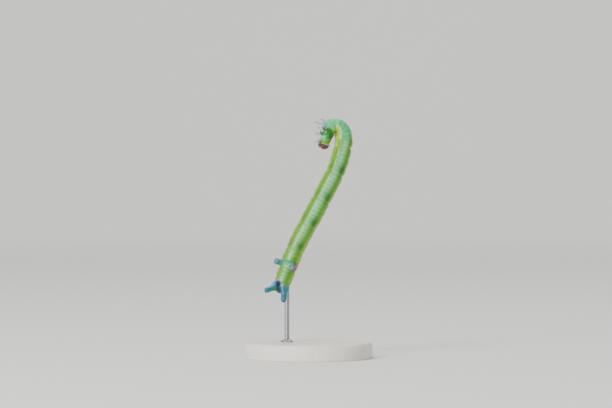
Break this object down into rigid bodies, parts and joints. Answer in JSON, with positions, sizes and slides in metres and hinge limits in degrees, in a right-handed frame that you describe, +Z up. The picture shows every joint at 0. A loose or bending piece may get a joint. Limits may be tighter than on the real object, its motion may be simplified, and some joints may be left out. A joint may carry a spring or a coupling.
{
  "type": "inchworm larva",
  "caption": "Slender green looper larva hanging with its fore body hooked over, rear prolegs splayed, held by a thin rod on a round display base.",
  "frame": {"origin": "middle of the display base's underside", "axes": "+Z up; the camera of the picture looks along +Y at the larva's belly, so -Y is its belly side; +X is the side that the back of the hook faces"},
  "size_m": [0.016, 0.016, 0.03],
  "materials": {
    "flesh": "soft moist skin, pale green below and leaf green along the sides",
    "proleg": "soft skin, bluish green",
    "leg": "hard shiny cuticle, nearly white",
    "claw": "hard dark horn",
    "head": "hard shiny capsule, green above and red-brown in front",
    "eye": "small glossy lenses",
    "mouth": "hard red-brown mouthparts",
    "base": "plain satin disc",
    "rod": "thin satin steel pin"
  },
  "bodies": {
    "root": {"head_capsule": "head", "eye_left": "eye", "eye_right": "eye", "feeler_left": "mouth", "feeler_right": "mouth", "jaw_left": "mouth", "jaw_right": "mouth", "upper_lip": "mouth", "lower_lip": "mouth", "thorax_1": "flesh", "thorax_2": "flesh", "thorax_3": "flesh", "thorax_1_leg_left": "leg", "thorax_1_leg_right": "leg", "thorax_2_leg_left": "leg", "thorax_2_leg_right": "leg", "thorax_3_leg_left": "leg", "thorax_3_leg_right": "leg", "thorax_1_claw_left": "claw", "thorax_1_claw_right": "claw", "thorax_2_claw_left": "claw", "thorax_2_claw_right": "claw", "thorax_3_claw_left": "claw", "thorax_3_claw_right": "claw", "abdomen_1": "flesh", "abdomen_2": "flesh", "abdomen_3": "flesh", "abdomen_4": "flesh", "abdomen_5": "flesh", "abdomen_6": "flesh", "abdomen_7": "flesh", "abdomen_8": "flesh", "abdomen_9": "flesh", "abdomen_10_tail": "flesh", "anal_plate": "flesh", "proleg_6_left": "proleg", "proleg_6_right": "proleg", "proleg_10_left": "proleg", "proleg_10_right": "proleg", "stand_base": "base", "stand_rod": "rod"}
  },
  "joints": []
}
